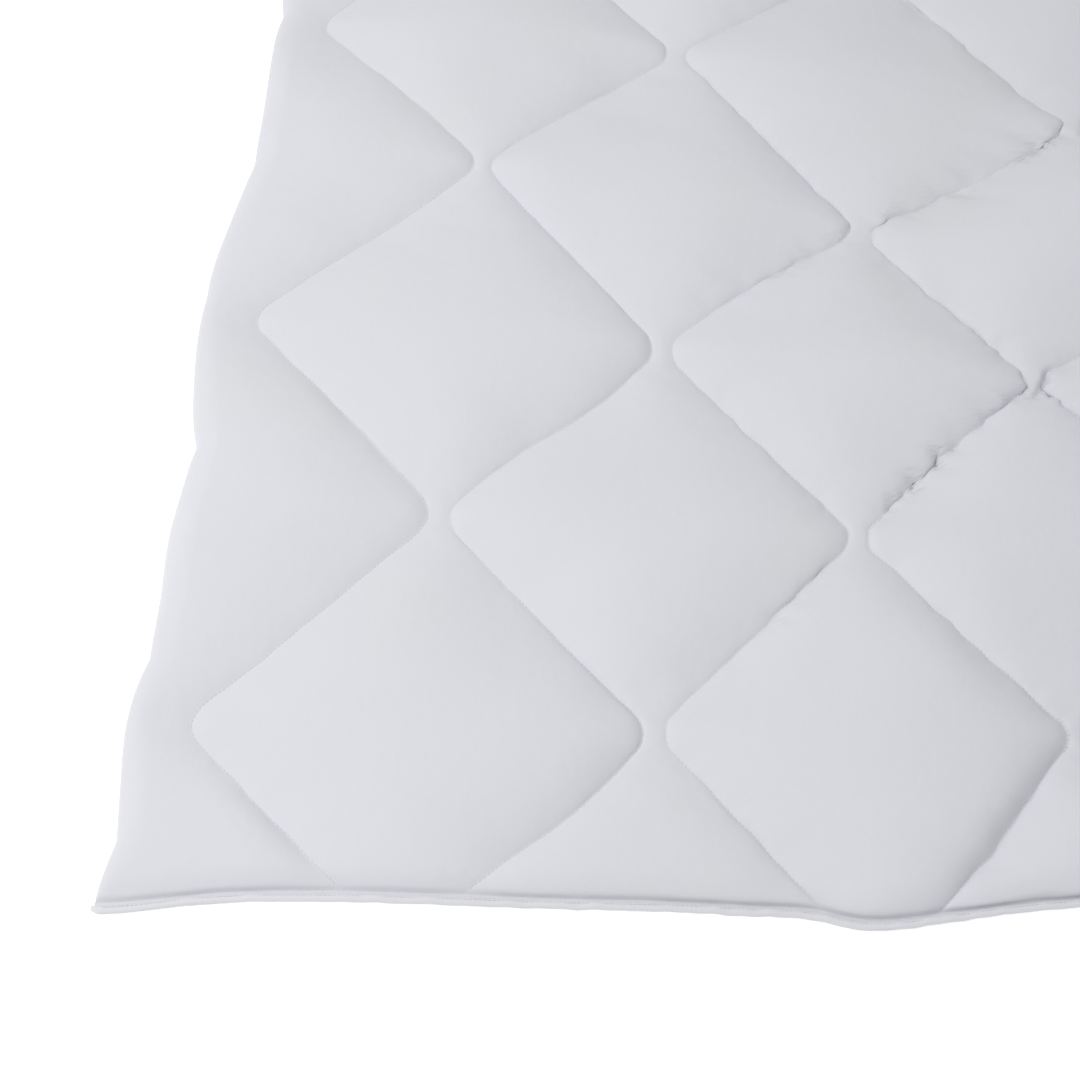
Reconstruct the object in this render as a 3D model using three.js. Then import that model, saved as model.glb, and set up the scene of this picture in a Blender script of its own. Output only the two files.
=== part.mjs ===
import * as THREE from 'three';

// Driving dimensions in millimetres. The duvet lies on a flat surface at z = 0, centred on the origin.
const duvetWidth = 1350;
const duvetLength = 2000;
const diamondsAcross = 4;
const stitchMargin = 35;
const turnRadius = 20;
const rowPitch = 163.2;
const firstRow = 131;

// Height of the seams and of the filled panels
const seamBottom = 4;
const seamTop = 8;
const panelRise = 21;
const riseDistance = 15;
const seamTuck = 18;

// Turned long edges
const edgeRoll = 24;
const edgeRollBelow = 9;
const edgeDrawIn = 2;
const outlineHeight = 0.4;

// Bound hems at the two short ends
const bindingDepth = 6;
const bindingCloth = 1;
const bindingOverhang = 3;
const pieceGap = 0.3;
const hemFlat = 9;
const hemThickness = 3;
const hemInset = 3.8;
const hemRise = 9;
const hemTuck = 16;
const hemSettle = 36;

// Brings the middle of the laid duvet's outline to the origin
const centring = 11;

// How the cloth was dragged as it was laid out, in the plane. Places are measured from the front left corner.
const pulls = [
  { x: 0, y: 0, reach: 80, dx: -3, dy: -8 },
  { x: 0, y: 60, reach: 200, dx: -4, dy: -20 },
  { x: 110, y: 0, reach: 110, dx: 2, dy: 6 },
  { x: 320, y: 0, reach: 130, dx: 8, dy: 4 },
  { x: 530, y: 10, reach: 90, dx: 14, dy: -15 },
  { x: 305, y: 75, reach: 62, dx: 5, dy: -5 },
  { x: 325, y: 385, reach: 62, dx: 5, dy: -11 },
  { x: 700, y: 0, reach: 110, dx: 5, dy: 9 },
  { x: 350, y: 140, reach: 170, dx: 9, dy: -4 },
  { x: 640, y: 180, reach: 110, dx: 0, dy: -8 },
  { x: 700, y: 60, reach: 260, dx: -8, dy: 24 },
  { x: 0, y: 450, reach: 140, dx: -11, dy: 0 },
  { x: 500, y: 330, reach: 180, dx: 6, dy: 0 },
  { x: 690, y: 420, reach: 180, dx: -23, dy: 0 },
  { x: 700, y: 325, reach: 70, dx: 8, dy: 6 },
  { x: 180, y: 600, reach: 260, dx: 7, dy: 18 },
  { x: 620, y: 700, reach: 240, dx: 4, dy: -34 },
  { x: 700, y: 800, reach: 200, dx: 20, dy: -24 },
  { x: 640, y: 1010, reach: 300, dx: 12, dy: -34 },
  { x: 620, y: 1290, reach: 300, dx: 8, dy: -20 },
  { x: 1180, y: 260, reach: 240, dx: 8, dy: -12 },
  { x: 1350, y: 900, reach: 220, dx: 9, dy: 6 },
  { x: 180, y: 1350, reach: 240, dx: -9, dy: -10 },
  { x: 1060, y: 1350, reach: 260, dx: 10, dy: 12 },
  { x: 650, y: 1850, reach: 260, dx: -8, dy: 10 },
];

// Soft swells where the cloth stands off the surface. Places are measured as above.
const swells = [
  { x: 560, y: 170, reach: 150, lift: 9 },
  { x: 200, y: 390, reach: 140, lift: 2 },
  { x: 740, y: 670, reach: 190, lift: 17 },
  { x: 170, y: 690, reach: 150, lift: 8 },
  { x: 430, y: 800, reach: 160, lift: 8 },
  { x: 1080, y: 420, reach: 190, lift: 12 },
  { x: 260, y: 1130, reach: 180, lift: 10 },
  { x: 960, y: 1000, reach: 200, lift: 13 },
  { x: 1150, y: 1560, reach: 180, lift: 9 },
  { x: 560, y: 1520, reach: 210, lift: 14 },
];

// Mesh steps: rows beside each turn, and the share of a strip's width at each column
const rowsBesideTurn = [-50, -14, 0, 14, 50];
const hemRows = [hemInset, hemFlat, 15, 28, 50];
const hemReach = 60;
const topColumns = [0, 0.12, 0.36, 0.64, 0.88];
const bottomColumns = [0, 0.14, 0.5, 0.86];
const topEdgeColumns = [0, 5, 14];
const bottomEdgeColumns = [0, 8];
const topEdgeShares = [0.35, 0.75];
const bottomEdgeShares = [0.35, 0.8];

// Sizes that follow from the ones above
const quarterDiamond = (duvetWidth - 2 * stitchMargin) / diamondsAcross / 4;
const stitchLines = 2 * diamondsAcross;
const slant = Math.atan2(2 * quarterDiamond, rowPitch);
const turnReach = turnRadius * Math.sin(slant);

function clamp01(value) {
  return Math.min(1, Math.max(0, value));
}

function smooth(value) {
  const v = clamp01(value);
  return v * v * (3 - 2 * v);
}

// Distance of a zigzag from its own middle at a distance from the turn, with the turn rounded
function swing(fromTurn) {
  if (Math.abs(fromTurn) > turnReach) {
    return quarterDiamond - Math.abs(fromTurn) * Math.tan(slant);
  }
  const roundCentre = quarterDiamond - turnRadius / Math.cos(slant);
  return roundCentre + Math.sqrt(turnRadius ** 2 - fromTurn ** 2);
}

// Place across the duvet of one stitch line at a distance along it. Neighbouring lines are mirrored.
function stitchAcross(line, along) {
  const turns = (along - firstRow) / rowPitch;
  const nearest = Math.round(turns);
  const side = (nearest + line) % 2 === 0 ? -1 : 1;
  const middle = stitchMargin + quarterDiamond * (2 * line + 1);
  return middle + side * swing((turns - nearest) * rowPitch);
}

function edgeIn(along) {
  return edgeDrawIn * (1 - Math.cos((Math.PI * (along - firstRow)) / rowPitch));
}

function hemDistance(along) {
  return Math.min(along, duvetLength - along);
}

function filled(distance, reach) {
  return 1 - Math.exp(-Math.max(0, distance) / reach);
}

// How far the cloth stands off the surface
function liftAt(x, y) {
  let lift = 0;
  for (const swell of swells) {
    const r = Math.hypot(x - swell.x, y - swell.y) / swell.reach;
    lift += r < 1 ? swell.lift * (1 - r * r) ** 2 : 0;
  }
  return lift * smooth((hemDistance(y) - hemFlat) / hemSettle);
}

// Moves a place of the flat duvet to where it lies, with the origin at the middle
function laid(x, y, z) {
  const point = new THREE.Vector3(x - duvetWidth / 2, y - duvetLength / 2 + centring, z);
  for (const pull of pulls) {
    const share = Math.exp(-((x - pull.x) ** 2 + (y - pull.y) ** 2) / pull.reach ** 2);
    point.x += pull.dx * share;
    point.y += pull.dy * share;
  }
  return point;
}

// Heights of the upper and lower cloth inside a strip, from the distances to its two sides
function upperHeight(x, y, distances) {
  const low = hemThickness + bindingCloth + pieceGap;
  const hem = hemDistance(y) - hemFlat;
  let rise = panelRise * filled(hem, hemRise);
  for (const distance of distances) {
    rise *= filled(distance * Math.cos(slant), riseDistance);
  }
  return low + (seamTop - low) * smooth(hem / hemTuck) + rise + liftAt(x, y);
}

function lowerHeight(x, y, distances) {
  const low = bindingCloth + pieceGap;
  const hem = smooth((hemDistance(y) - hemFlat) / hemTuck);
  let tuck = 0;
  for (const distance of distances) {
    tuck = Math.max(tuck, 1 - smooth((distance * Math.cos(slant)) / seamTuck));
  }
  return low + (seamBottom * tuck - low) * hem + liftAt(x, y);
}

// Share of the full height at a distance from the outline of a turned edge
function edgeRise(distance, roll) {
  return Math.sqrt(1 - (1 - clamp01(distance / roll)) ** 2);
}

// Columns of one edge strip, from the outline to the first stitch line, as distances from the outline
function edgeColumns(width, fixed, shares) {
  const last = fixed[fixed.length - 1];
  const columns = [...fixed];
  for (const share of shares) {
    columns.push(last + (width - last) * share);
  }
  return columns;
}

// One row of the duvet's cloth: every column as a place across it with its distances to seam and outline
function rowColumns(along, inner, fixed, shares) {
  const left = edgeIn(along);
  const right = duvetWidth - edgeIn(along);
  const seams = [];
  for (let line = 0; line < stitchLines; line += 1) {
    seams.push(stitchAcross(line, along));
  }
  const columns = [];
  for (const offset of edgeColumns(seams[0] - left, fixed, shares)) {
    columns.push({ x: left + offset, seams: [seams[0] - left - offset], edge: offset });
  }
  for (let line = 0; line < stitchLines - 1; line += 1) {
    const width = seams[line + 1] - seams[line];
    for (const share of inner) {
      const x = seams[line] + width * share;
      columns.push({ x, seams: [width * share, width * (1 - share)], edge: Infinity });
    }
  }
  const lastSeam = seams[stitchLines - 1];
  columns.push({ x: lastSeam, seams: [0], edge: Infinity });
  for (const offset of edgeColumns(right - lastSeam, fixed, shares).reverse()) {
    columns.push({ x: right - offset, seams: [right - offset - lastSeam], edge: offset });
  }
  return columns;
}

// The point of the upper or the lower cloth at one column. The two meet on the outline.
function clothPoint(column, along, upper) {
  const top = upperHeight(column.x, along, column.seams);
  const bottom = lowerHeight(column.x, along, column.seams);
  const middle = bottom + (top - bottom) * outlineHeight;
  let z = upper ? top : bottom;
  if (column.edge < Infinity) {
    const share = edgeRise(column.edge, upper ? edgeRoll : edgeRollBelow);
    z = middle + (z - middle) * share;
  }
  return laid(column.x, along, z);
}

function rowPlaces() {
  const rows = [];
  for (const row of hemRows) {
    rows.push(row, duvetLength - row);
  }
  const turnCount = Math.floor((duvetLength - firstRow) / rowPitch);
  for (let turn = 0; turn <= turnCount; turn += 1) {
    for (const beside of rowsBesideTurn) {
      const along = firstRow + turn * rowPitch + beside;
      if (hemDistance(along) > hemReach) {
        rows.push(along);
      }
    }
  }
  return rows.sort((a, b) => a - b);
}

// Collects points and triangles of one closed body
class Skin {
  constructor() {
    this.points = [];
    this.triangles = [];
  }

  add(point) {
    this.points.push(point.x, point.y, point.z);
    return this.points.length / 3 - 1;
  }

  quad(a, b, c, d) {
    this.triangles.push(a, b, c, a, c, d);
  }

  geometry() {
    const geometry = new THREE.BufferGeometry();
    geometry.setAttribute('position', new THREE.Float32BufferAttribute(this.points, 3));
    geometry.setIndex(this.triangles);
    geometry.computeVertexNormals();
    return geometry;
  }
}

// Fills the thin wall between the upper and the lower cloth at one hem
function closeHem(skin, upper, lower, outward) {
  let i = 0;
  let j = 0;
  const across = (index) => skin.points[index * 3];
  while (i < upper.length - 1 || j < lower.length - 1) {
    const upperNext = i < upper.length - 1 ? across(upper[i + 1]) : Infinity;
    const lowerNext = j < lower.length - 1 ? across(lower[j + 1]) : Infinity;
    let corners = [];
    if (upperNext < lowerNext) {
      corners = [lower[j], upper[i + 1], upper[i]];
      i += 1;
    } else {
      corners = [upper[i], lower[j], lower[j + 1]];
      j += 1;
    }
    if (new Set(corners).size === 3) {
      skin.triangles.push(...(outward ? corners : corners.reverse()));
    }
  }
}

function bodyGeometry() {
  const skin = new Skin();
  const upperRows = [];
  const lowerRows = [];
  for (const along of rowPlaces()) {
    const upperColumns = rowColumns(along, topColumns, topEdgeColumns, topEdgeShares);
    const lowerColumns = rowColumns(along, bottomColumns, bottomEdgeColumns, bottomEdgeShares);
    const upper = upperColumns.map((column) => skin.add(clothPoint(column, along, true)));
    const inside = lowerColumns.slice(1, -1).map((column) => skin.add(clothPoint(column, along, false)));
    upperRows.push(upper);
    lowerRows.push([upper[0], ...inside, upper[upper.length - 1]]);
  }
  for (let row = 0; row < upperRows.length - 1; row += 1) {
    const [near, far] = [upperRows[row], upperRows[row + 1]];
    for (let column = 0; column < near.length - 1; column += 1) {
      skin.quad(near[column], near[column + 1], far[column + 1], far[column]);
    }
    const [nearBelow, farBelow] = [lowerRows[row], lowerRows[row + 1]];
    for (let column = 0; column < nearBelow.length - 1; column += 1) {
      skin.quad(nearBelow[column], farBelow[column], farBelow[column + 1], nearBelow[column + 1]);
    }
  }
  const last = upperRows.length - 1;
  closeHem(skin, upperRows[0], lowerRows[0], true);
  closeHem(skin, upperRows[last], lowerRows[last], false);
  return skin.geometry();
}

// A strip folded round the hem, its section drawn from the outer face inwards and its path along the hem
function bindingGeometry(front) {
  const height = hemThickness + 2 * (bindingCloth + pieceGap);
  const section = [
    [0, 0],
    [bindingDepth, 0],
    [bindingDepth, bindingCloth],
    [bindingCloth, bindingCloth],
    [bindingCloth, height - bindingCloth],
    [bindingDepth, height - bindingCloth],
    [bindingDepth, height],
    [0, height],
  ];
  const hem = front ? hemInset : duvetLength - hemInset;
  const columns = rowColumns(hem, topColumns, topEdgeColumns, topEdgeShares);
  const stations = columns.map((column) => column.x);
  stations[0] = -bindingOverhang;
  stations[stations.length - 1] = duvetWidth + bindingOverhang;
  const skin = new Skin();
  const rings = stations.map((x) =>
    section.map(([depth, z]) => skin.add(laid(x, front ? depth : duvetLength - depth, z))),
  );
  for (let station = 0; station < rings.length - 1; station += 1) {
    for (let corner = 0; corner < section.length; corner += 1) {
      const next = (corner + 1) % section.length;
      const [a, b] = [rings[station][corner], rings[station][next]];
      const [c, d] = [rings[station + 1][next], rings[station + 1][corner]];
      skin.quad(...(front ? [a, b, c, d] : [a, d, c, b]));
    }
  }
  const outline = section.map(([depth, z]) => new THREE.Vector2(depth, z));
  for (const triangle of THREE.ShapeUtils.triangulateShape(outline, [])) {
    const start = triangle.map((corner) => rings[0][corner]);
    const end = triangle.map((corner) => rings[rings.length - 1][corner]);
    skin.triangles.push(...(front ? start.reverse() : start));
    skin.triangles.push(...(front ? end : end.reverse()));
  }
  return skin.geometry();
}

function clothMaterial(colour, roughness) {
  return new THREE.MeshStandardMaterial({ color: colour, roughness, metalness: 0 });
}

function piece(name, geometry, material) {
  const mesh = new THREE.Mesh(geometry, material);
  mesh.name = name;
  return mesh;
}

const group = new THREE.Group();
group.add(piece('duvet_body', bodyGeometry(), clothMaterial(0xdfe1e6, 0.85)));
group.add(piece('binding_front', bindingGeometry(true), clothMaterial(0xe4e5e9, 0.8)));
group.add(piece('binding_back', bindingGeometry(false), clothMaterial(0xe4e5e9, 0.8)));

export default group;
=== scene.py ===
import math

import bpy
import numpy as np
from mathutils import Matrix, Vector


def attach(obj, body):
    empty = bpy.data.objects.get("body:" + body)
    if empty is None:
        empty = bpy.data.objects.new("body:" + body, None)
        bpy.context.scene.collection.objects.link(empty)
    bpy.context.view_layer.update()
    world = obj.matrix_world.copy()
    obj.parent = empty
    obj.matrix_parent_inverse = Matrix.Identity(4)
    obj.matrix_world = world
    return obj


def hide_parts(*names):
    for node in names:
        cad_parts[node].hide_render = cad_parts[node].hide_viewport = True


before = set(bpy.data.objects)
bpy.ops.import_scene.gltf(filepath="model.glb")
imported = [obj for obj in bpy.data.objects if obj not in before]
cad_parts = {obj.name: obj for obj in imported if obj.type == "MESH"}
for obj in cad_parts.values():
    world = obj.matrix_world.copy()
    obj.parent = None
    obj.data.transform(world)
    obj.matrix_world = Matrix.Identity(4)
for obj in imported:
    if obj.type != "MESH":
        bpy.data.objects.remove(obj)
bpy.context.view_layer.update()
MM = 0.001

# The duvet's own sizes, as in its solids, in metres
WIDTH = 1.35
LENGTH = 2.0
DIAMONDS_ACROSS = 4
STITCH_MARGIN = 35 * MM
TURN_RADIUS = 20 * MM
ROW_PITCH = 163.2 * MM
FIRST_ROW = 131 * MM
CENTRING = 11 * MM

# The zigzag stitch lines that follow from them
STITCH_LINES = 2 * DIAMONDS_ACROSS
QUARTER = (WIDTH - 2 * STITCH_MARGIN) / DIAMONDS_ACROSS / 4
SLANT = math.atan2(2 * QUARTER, ROW_PITCH)
TURN_REACH = TURN_RADIUS * math.sin(SLANT)

# Stands for the distance of something that isn't there, farther than any place of the duvet
FAR = 9.0

# Heights of seams and panels, and how far from a seam the lower cloth is tucked up
SEAM_BOTTOM = 4 * MM
SEAM_TOP = 8 * MM
PANEL_RISE = 20 * MM
SEAM_TUCK = 18 * MM

# Turned long edges: how wide each cloth rolls, the draw-in beside the stitch line's turns, how far from the
# hems that fades, and the outline's height as a share of the thickness
EDGE_ROLL = 24 * MM
EDGE_ROLL_BELOW = 9 * MM
EDGE_DRAW_IN = 2 * MM
EDGE_DRAW_FADE = 70 * MM
OUTLINE_HEIGHT = 0.4

# Hems of the body, inside the bindings. Behind them the puffs rise HEM_STEEPNESS times as fast as beside a
# seam, and twice as fast again to the right of STEEP_ACROSS
HEM_INSET = 1.9 * MM
HEM_FLAT = 7.2 * MM
HEM_LOW = 1.1 * MM
HEM_THICKNESS = 2.3 * MM
HEM_TUCK = 16 * MM
HEM_SETTLE = 36 * MM
HEM_STEEPNESS = 2

# Bindings: depth, height, cloth, overhang at each end, step of the mesh, steps round the fold, share of the
# depth where the legs bend, gap to the hem inside, and how far the legs' edges are lifted and pressed down
BINDING_DEPTH = 5.6 * MM
BINDING_HEIGHT = 4.4 * MM
BINDING_CLOTH = 0.7 * MM
BINDING_OVERHANG = 1.5 * MM
BINDING_STEP = 3 * MM
BINDING_TURNS = 8
LEG_BEND = 0.7
LEG_GAP = 0.5 * MM
LEG_LIFT = 0.15 * MM
LEG_PRESS = 0.2 * MM

# Unevenness of the bindings: wave of the outer edge, share by which the height varies, and size at the ends
BINDING_WAVE = 0.18 * MM
BINDING_SWELL = 0.05
BINDING_END = 0.55
BINDING_END_REACH = 5 * MM

# Furrow behind a binding: depth, how much deeper it is at the right, place behind the flat hem, and width
FURROW_DEPTH = 2.1 * MM
FURROW_DEEPER = 0.95 * MM
FURROW_PLACE = 0.6 * MM
FURROW_WIDTH = 2 * MM

# Puffs that roll out over a hem: how far, where behind the outer edge, width of the roll, how it fades at
# the long edges and starts at the hem, its size at the left, the gain beyond, and a share on top of both
ROLL_OUT = 2.6 * MM
ROLL_PLACE = 14 * MM
ROLL_WIDTH = 4.5 * MM
ROLL_EDGE = 30 * MM
ROLL_START = 3 * MM
ROLL_LEFT = 0.5
ROLL_GAIN = 0.8
ROLL_MORE = 1.9

# Filling beside a seam, in shares of the full loft: the pinch at the seam, the wide crown, and the flank
# that is left between them, which is longer on a puff's left side than on its right
PINCH = 0.07
PINCH_REACH = 1.9 * MM
CROWN = 0.36
CROWN_REACH = 65 * MM
FLANK_REACH = 24 * MM
FLANK_STRETCH = (1.3, 0.95)

# Where the filling is thin: longer flanks near the left side, and less loft at the left corner and side
THIN_STRETCH = 0.35
THIN_STRETCH_REACH = 200 * MM
THIN_CORNER = 0.35
THIN_CORNER_REACH = (200 * MM, 170 * MM)
THIN_SIDE = 0.25
THIN_SIDE_REACH = 130 * MM

# How sharply the cloth rises at its seams: least, gain away from the left side, gain farther in and behind,
# and how much its wide and its small patches vary
TIGHT_LEAST = 0.1
TIGHT_GAIN = 0.8
TIGHT_GAIN_BEHIND = 0.9
TIGHT_PATCHES = (0.45, 0.3)

# How rough the seams are: least, gain away from the left side, share of it at the front hem, gain behind
ROUGH_LEAST = 0.4
ROUGH_GAIN = 0.7
ROUGH_FRONT = 0.5
ROUGH_GAIN_BEHIND = 0.5

# Sideways steps of a seam: size, reach, and share of the short ones
WANDER = 0.9 * MM
WANDER_REACH = 8 * MM
WANDER_SHORT = 0.8

# Puffs that lean over a seam: how far, where they lean most, share of it at the front hem, and the share of
# a panel's width that it keeps to
LEAN = 1 * MM
LEAN_REACH = 3.5 * MM
LEAN_FRONT = 0.12
LEAN_LIMIT = 0.3

# Small gathers at a seam: height, pitch, phase, how much it varies, and start and reach beside the seam
PUCKER = 1.1 * MM
PUCKER_PITCH = 13 * MM
PUCKER_PHASE = 40
PUCKER_FLOW = 2.4
PUCKER_START = 1.6 * MM
PUCKER_REACH = 7 * MM

# Longer folds that run out from a seam: depth, slant, start and reach beside the seam
FOLD_DEPTH = 1.3 * MM
FOLD_SLANT = 0.15
FOLD_START = 4 * MM
FOLD_REACH = 22 * MM

# Gentle hills of the panels, and how far from the hems and long edges the unevenness comes in
CRUMPLE = 1.5 * MM
CALM_HEM = 12 * MM
CALM_EDGE = 18 * MM

# Where an effect comes in from left to right, or from front to back: start and width
STEEP_ACROSS = (400 * MM, 120 * MM)
FURROW_ACROSS = (280 * MM, 250 * MM)
ROLL_ACROSS = (100 * MM, 350 * MM)
ROLL_MORE_ACROSS = (420 * MM, 120 * MM)
TIGHT_ACROSS = (100 * MM, 300 * MM)
TIGHTER_ACROSS = (420 * MM, 250 * MM)
TIGHTER_ALONG = (120 * MM, 300 * MM)
ROUGH_ACROSS = (300 * MM, 300 * MM)
ROUGH_ALONG = (100 * MM, 200 * MM)
ROUGHER_ACROSS = (400 * MM, 200 * MM)
ROUGHER_ALONG = (280 * MM, 250 * MM)
LEAN_ALONG = (80 * MM, 200 * MM)

# Random hills: range of their wavelengths as shares, then wavelength, seed and number of waves of each use
HILL_RANGE = (0.7, 1.5)
CRUMPLE_HILLS = (150 * MM, 3, 20)
PUCKER_FLOW_HILLS = (50 * MM, 7, 8)
BINDING_HILLS = (20 * MM, 21, 10)
ROLL_HILLS = (120 * MM, 31, 20)
PUCKER_HILLS = (110 * MM, 40, 8)
TIGHT_HILLS = ((130 * MM, 51, 20), (50 * MM, 52, 20))
WANDER_HILLS = ((22 * MM, 63, 12), (50 * MM, 64, 8))
LEAN_HILLS = (32 * MM, 70, 12)
FOLD_HILLS = (34 * MM, 90, 14)

# How hills turn into the strength of an effect: level, spread, least and most
ROLL_STRENGTH = (0.55, 0.5, 0.1, 1.6)
PUCKER_STRENGTH = (0.55, 0.6, 0, 1.6)
TIGHT_STRENGTH = (1, 1, 0.2, 2.1)
LEAN_STRENGTH = (0.2, 0.8, 0, 2.6)
FOLD_STRENGTH = (-0.7, 1, 0, 3)

# How the cloth was dragged in its plane as it was laid out: x, y, reach, dx, dy in millimetres, from the
# front left corner
PULLS = [
    (0, 0, 50, -5, -8),
    (0, 60, 200, -4, -20),
    (110, 0, 110, 2, 6),
    (320, 0, 130, 8, 4),
    (470, 0, 28, 0, 4),
    (495, 0, 32, 0, -3),
    (570, 0, 40, 0, 2),
    (610, 0, 40, 0, 2),
    (618, 50, 62, 8, -4),
    (530, 10, 90, 14, -11),
    (305, 75, 62, 5, -5),
    (325, 385, 62, 5, -11),
    (700, 0, 110, 5, 9),
    (350, 140, 170, 9, -4),
    (640, 180, 110, 0, -8),
    (700, 60, 260, -8, 24),
    (0, 450, 140, -11, 0),
    (0, 135, 50, -6, 0),
    (0, 265, 40, -5, 0),
    (0, 490, 90, -6, 0),
    (500, 330, 180, 6, 0),
    (690, 420, 180, -23, 0),
    (700, 325, 70, 8, 6),
    (180, 600, 260, 7, 18),
    (620, 700, 240, 4, -34),
    (700, 800, 200, 20, -24),
    (640, 1010, 300, 12, -34),
    (620, 1290, 300, 8, -20),
    (1180, 260, 240, 8, -12),
    (1350, 900, 220, 9, 6),
    (180, 1350, 240, -9, -10),
    (1060, 1350, 260, 10, 12),
    (650, 1850, 260, -8, 10),
]

# Nicks where the turned long edge is drawn in: distance along it and depth in millimetres
NICKS_LEFT = [
    (47, 5),
    (176, 5),
    (340, 8),
    (475, 2),
    (611, 4),
    (790, 6),
    (930, 4),
    (1085, 7),
    (1240, 4),
    (1400, 6),
]
NICKS_RIGHT = [
    (110, 5),
    (285, 6),
    (450, 3),
    (640, 7),
    (800, 4),
    (985, 6),
    (1150, 5),
    (1330, 7),
    (1500, 4),
]
NICKS_BEHIND = [(1560, 5), (1700, 7), (1850, 4)]
NICK_REACH = 16 * MM
NICK_ROUNDING = 3 * MM
NICK_FADE = 45 * MM

# Where the right flanks of the puffs are short: x, y, reach in millimetres and share
SHORT_FLANKS = [(110, 60, 90, 0.35), (680, 400, 120, 0.35)]

# Shoulders that stand up beside the right seam of a puff: x, y, reach and height in millimetres
SHOULDERS = [(612, 60, 80, 11), (100, 55, 60, 4), (560, 330, 60, 3), (120, 380, 60, 3)]
SHOULDER_WIDTH = 19 * MM
SHOULDER_FADE = 75 * MM
SHOULDER_HEM = 14 * MM

# Soft swells where the cloth stands off the floor: x, y, reach, lift in millimetres
SWELLS = [
    (560, 170, 150, 9),
    (200, 390, 140, 2),
    (740, 670, 190, 17),
    (170, 690, 150, 8),
    (430, 800, 160, 8),
    (640, 440, 130, 4),
    (700, 668, 90, 8),
    (1080, 420, 190, 12),
    (260, 1130, 180, 10),
    (960, 1000, 200, 13),
    (1150, 1560, 180, 9),
    (560, 1520, 210, 14),
]

# Short creases that run out from a seam: x and y of start and end, and depth, in millimetres
CREASES = [
    (589, 362, 587, 386, 4.5),
    (567, 341, 562, 362, 4.2),
    (545, 322, 544, 338, 4),
    (556, 331, 553, 342, 2.2),
    (605, 377, 603, 389, 2.2),
    (675, 442, 688, 475, 5),
    (683, 444, 683, 466, 4),
]

# Width of a crease, and where it comes in and goes out: place and width in shares of its length
CREASE_WIDTH = 2.3 * MM
CREASE_IN = (-0.25, 0.3)
CREASE_OUT = (1.15, 0.5)

# The body's mesh: steps from a seam to the middle of a panel and how much they crowd at the seam, for the
# upper and the lower cloth, and the least crowding, which a strip this narrow has
UPPER_GRADING = (8, 1.35)
LOWER_GRADING = (3, 1.1)
LEAST_CROWDING = 0.3
NARROW_STRIP = 8 * MM

# Distances of the outer columns from the turned edges, and of the outer rows from the body's hems, in
# millimetres
UPPER_EDGE = [0, 0.8, 2, 4, 6.5, 9.5, 13, 17, 22]
LOWER_EDGE = [0, 1.5, 4, 9]
HEM_ROWS = [0, 2, 3.6, 4.6, 5.6, 6.6, 7.8, 9.2, 10.8, 12.6, 14.6, 17, 20, 23.8, 28]

# Pitch of the rows over the front, which ends here, and of those behind it
FRONT_END = 0.8
FRONT_PITCH = 3.4 * MM
BACK_PITCH = 6 * MM

# Simulation of the filled upper cloth: grid step, frames, extra cloth, pressure, and the cloth's own values
SETTLE_STEP = 9 * MM
SETTLE_FRAMES = 12
SETTLE_SLACK = 0.008
SETTLE_PRESSURE = 1.0
SETTLE_QUALITY = 4
SETTLE_MASS = 0.15
SETTLE_STRETCHING = 8
SETTLE_SHEARING = 3
SETTLE_BENDING = 1.5

# How far from seams, long edges and hems the simulation holds the cloth, the steepness behind a hem, and how
# much of the result is kept
SETTLE_HELD = 8 * MM
SETTLE_HELD_HEM = 3 * MM
SETTLE_STEEPNESS = 1.35
SETTLE_KEPT = 0.5
SETTLE_CAP = 6 * MM
SETTLE_LEAST = 1e-9

# Stitches: pitch, length and thickness. Their ends are sunk and taper from these shares of the length
QUILTING_STITCH = (3.6 * MM, 2.9 * MM, 0.32 * MM)
HEM_STITCH = (3.2 * MM, 2.5 * MM, 0.3 * MM)
STITCH_SIDES = 5
STITCH_TAPERS = (0.22, 0.78)
STITCH_SUNK = 0.6

# Where the threads lie: height over the cloth, rows left out at the hems, distance of the hem's line from
# the binding's inner edge and from its ends, and the step of its path
QUILTING_HEIGHT = 0.25 * MM
QUILTING_ROWS_OUT = 6
HEM_THREAD_HEIGHT = 0.2 * MM
HEM_THREAD_IN = 1.4 * MM
HEM_THREAD_ENDS = 3 * MM
HEM_THREAD_STEP = 4 * MM

# Cloths: colour, pitch of the threads and depth of the crumple
SHELL_CLOTH = ((0.72, 0.722, 0.765), 0.45 * MM, 0.5 * MM)
TAPE_CLOTH = ((0.74, 0.74, 0.775), 0.7 * MM, 0.25 * MM)
THREAD_CLOTH = ((0.74, 0.74, 0.765), 0.3 * MM, 0.05 * MM)

# Light unevenness of a cloth's colour: place on the ramp and share of each channel, and how fine it is
TINTS = [(0.32, (0.985, 0.985, 0.965)), (0.5, (0.99, 0.988, 0.982)), (0.68, (1.0, 1.0, 0.998))]
TINT_SCALE = 6.0

# How fine the crumple is, depth of the weave, and metres between the bands of a wave texture of scale one
CRUMPLE_SCALE = 90.0
WEAVE_DEPTH = 0.06 * MM
WAVE_SPACING = 0.314

# Floor, surroundings and the soft light of the window
FLOOR_HALF = 20.0
FLOOR_COLOUR = (0.95, 0.95, 0.95, 1)
FLOOR_GLOW = 0.3
WORLD_COLOUR = (0.98, 0.99, 1, 1)
WORLD_STRENGTH = 0.545
WINDOW_PLACE = (-1.5, -0.85, 2.0)
WINDOW_TARGET = (-0.3, -0.6, 0)
WINDOW_SIZE = 1.6
WINDOW_POWER = 30

# The photograph's eye point, found from the sizes of the diamonds in it
CAMERA_PLACE = (-0.357, -1.309, 1.141)
CAMERA_TILT = math.radians(62)
CAMERA_TURN = math.radians(-4)
CAMERA_LENS = 56.67
CAMERA_SENSOR = 36


def smooth(value):
    """A step from zero to one with soft ends."""
    v = np.clip(value, 0, 1)
    return v * v * (3 - 2 * v)


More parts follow.
